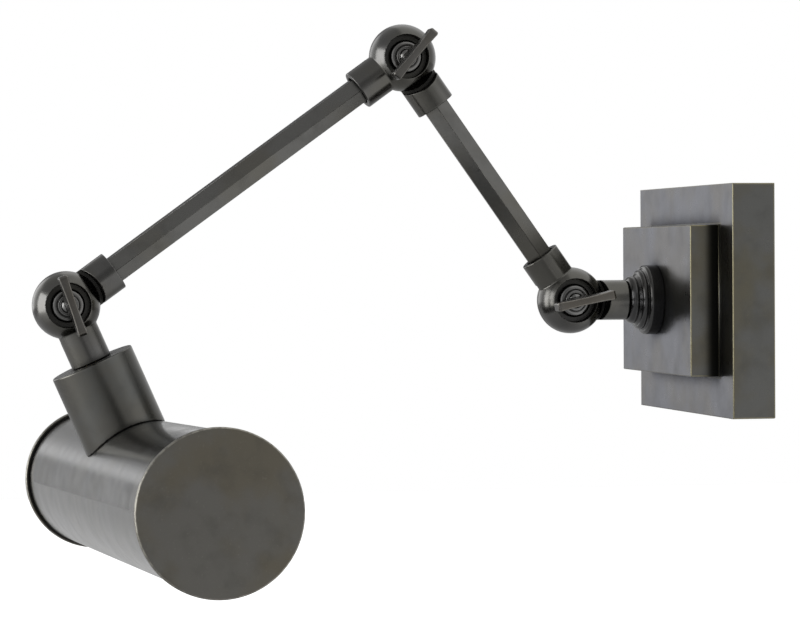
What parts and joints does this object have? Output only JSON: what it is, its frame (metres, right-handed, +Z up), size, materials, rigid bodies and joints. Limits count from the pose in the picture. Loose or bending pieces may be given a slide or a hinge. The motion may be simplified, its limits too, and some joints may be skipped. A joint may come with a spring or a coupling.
{
  "type": "articulating wall lamp",
  "caption": "Wall lamp with a stepped rectangular plate, hexagonal arms on ball knuckles with clamp levers, and a long cylindrical shade.",
  "frame": {"origin": "centre of the rectangle where the back edges of the wall plate meet the wall", "axes": "+Y into the wall, so the lamp reaches out along -Y; +Z up; +X along the shade, on the side of the clamp levers"},
  "size_m": [0.3784, 0.3695, 0.2864],
  "materials": {
    "dark_bronze": "dark bronze patina, satin",
    "bare_brass": "machined",
    "zinc_steel": "zinc plated",
    "fibre": "pressed fibre",
    "holder_plastic": "moulded",
    "bright_aluminium": "bright rolled",
    "clear_glass": "clear"
  },
  "bodies": {
    "wall_bracket": {"wall_plate": "dark_bronze", "front_box": "dark_bronze", "mounting_strap": "zinc_steel", "strap_screws": "dark_bronze", "earth_screw": "bare_brass", "terminal_block": "holder_plastic", "rosette": "dark_bronze", "wall_nipple": "bare_brass", "nipple_washer": "zinc_steel", "nipple_nut": "bare_brass"},
    "wall_arm_stub": {"wall_stub": "dark_bronze", "wall_friction_disc": "fibre", "wall_clamp_nut": "zinc_steel"},
    "inner_arm": {"inner_arm_wall_socket": "dark_bronze", "inner_arm_rod": "dark_bronze", "inner_arm_elbow_socket": "dark_bronze", "elbow_friction_disc": "fibre", "elbow_clamp_nut": "zinc_steel"},
    "wall_lever": {"wall_clamp_screw": "dark_bronze", "wall_clamp_lever": "dark_bronze"},
    "outer_arm": {"outer_arm_elbow_socket": "dark_bronze", "outer_arm_rod": "dark_bronze", "outer_arm_head_socket": "dark_bronze", "head_friction_disc": "fibre", "head_clamp_nut": "zinc_steel"},
    "elbow_lever": {"elbow_clamp_screw": "dark_bronze", "elbow_clamp_lever": "dark_bronze"},
    "head_knuckle": {"head_stub": "dark_bronze", "head_nipple": "bare_brass", "swivel_washer": "zinc_steel", "swivel_nut": "bare_brass"},
    "head_lever": {"head_clamp_screw": "dark_bronze", "head_clamp_lever": "dark_bronze"},
    "head": {"neck": "dark_bronze", "shade_tube": "dark_bronze", "near_cap": "dark_bronze", "far_cap": "dark_bronze", "reflector": "bright_aluminium", "holder_bracket": "zinc_steel", "bracket_screws": "zinc_steel", "bracket_nuts": "zinc_steel", "lamp_holders": "holder_plastic", "bulb_bases": "bare_brass", "bulb_glass": "clear_glass"}
  },
  "joints": [
    {"name": "wall_swivel", "type": "hinge", "parent": "wall_bracket", "child": "wall_arm_stub", "pos_m": [0, -0.0855, 0], "axis": [0, 1, 0], "range_deg": [-90, 90]},
    {"name": "wall_knuckle", "type": "hinge", "parent": "wall_arm_stub", "child": "inner_arm", "pos_m": [0, -0.0855, 0], "axis": [1, 0, 0], "range_deg": [-45, 85]},
    {"name": "elbow_knuckle", "type": "hinge", "parent": "inner_arm", "child": "outer_arm", "pos_m": [0, -0.17542, 0.12747], "axis": [1, 0, 0], "range_deg": [-120, 15]},
    {"name": "head_knuckle_tilt", "type": "hinge", "parent": "outer_arm", "child": "head_knuckle", "pos_m": [0, -0.35201, -0.00035], "axis": [1, 0, 0], "range_deg": [-130, 20]},
    {"name": "head_swivel", "type": "hinge", "parent": "head_knuckle", "child": "head", "pos_m": [0, -0.35201, -0.00035], "axis": [0, 0.4027, -0.9153], "range_deg": [-60, 60]},
    {"name": "wall_lever_turn", "type": "hinge", "parent": "inner_arm", "child": "wall_lever", "pos_m": [0, -0.0855, 0], "axis": [1, 0, 0], "range_deg": [-45, 90]},
    {"name": "elbow_lever_turn", "type": "hinge", "parent": "outer_arm", "child": "elbow_lever", "pos_m": [0, -0.17542, 0.12747], "axis": [1, 0, 0], "range_deg": [-45, 90]},
    {"name": "head_lever_turn", "type": "hinge", "parent": "head_knuckle", "child": "head_lever", "pos_m": [0, -0.35201, -0.00035], "axis": [1, 0, 0], "range_deg": [-45, 90]}
  ]
}
